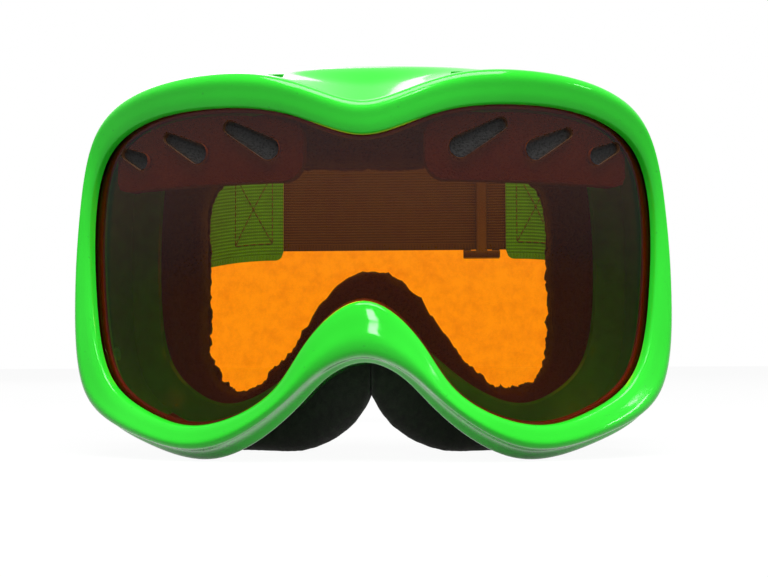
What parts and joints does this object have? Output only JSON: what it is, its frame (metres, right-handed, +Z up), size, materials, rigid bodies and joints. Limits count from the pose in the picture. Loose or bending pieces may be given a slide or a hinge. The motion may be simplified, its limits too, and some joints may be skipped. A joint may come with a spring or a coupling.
{
  "type": "ski goggles",
  "caption": "Ski goggles: wide curved amber lens in a glossy rim, foam face seal, hinged strap clips and an elastic head strap with a sliding adjuster.",
  "frame": {"origin": "on the surface that the goggles stand on, at the centre of their bounding box in plan", "axes": "the lens faces -Y and the strap loops out behind along +Y; +X is to the right as seen from in front; +Z up, as worn"},
  "size_m": [0.1754, 0.1994, 0.1113],
  "materials": {
    "gloss_green": "glossy moulded",
    "amber_lens": "clear amber with a faint mirror",
    "black_rubber": "matte",
    "black_foam": "open-cell foam",
    "fleece": "fleece-faced foam",
    "clip_plastic": "satin moulded",
    "pin_steel": "plain",
    "green_webbing": "woven webbing",
    "dark_elastic": "woven elastic"
  },
  "bodies": {
    "goggles": {"frame": "gloss_green", "lens": "amber_lens", "lens_seal": "black_rubber", "lens_vent_foam_left": "black_foam", "lens_vent_foam_right": "black_foam", "top_vent_foam_left": "black_foam", "top_vent_foam_right": "black_foam", "bottom_vent_foam_left": "black_foam", "bottom_vent_foam_right": "black_foam", "face_foam": "black_foam", "face_fleece": "fleece", "nose_pad_left": "fleece", "nose_pad_right": "fleece", "clip_pin_left": "pin_steel", "clip_pin_right": "pin_steel", "strap_side_left": "green_webbing", "strap_side_right": "green_webbing", "strap_back": "dark_elastic"},
    "clip_left": {"strap_clip_left": "clip_plastic"},
    "clip_right": {"strap_clip_right": "clip_plastic"},
    "adjuster": {"adjuster": "clip_plastic"}
  },
  "joints": [
    {"name": "clip_swing_left", "type": "hinge", "parent": "goggles", "child": "clip_left", "pos_m": [-0.0838, -0.03188, 0.0619], "axis": [0, 0, -1], "range_deg": [-40, 12], "deforming": ["strap_side_left"]},
    {"name": "clip_swing_right", "type": "hinge", "parent": "goggles", "child": "clip_right", "pos_m": [0.0838, -0.03188, 0.0619], "axis": [0, 0, 1], "range_deg": [-40, 12], "deforming": ["strap_side_right"]},
    {"name": "adjuster_slide", "type": "slide", "parent": "goggles", "child": "adjuster", "axis": [1, 0, 0], "range_m": [-0.06, 0.002]}
  ]
}
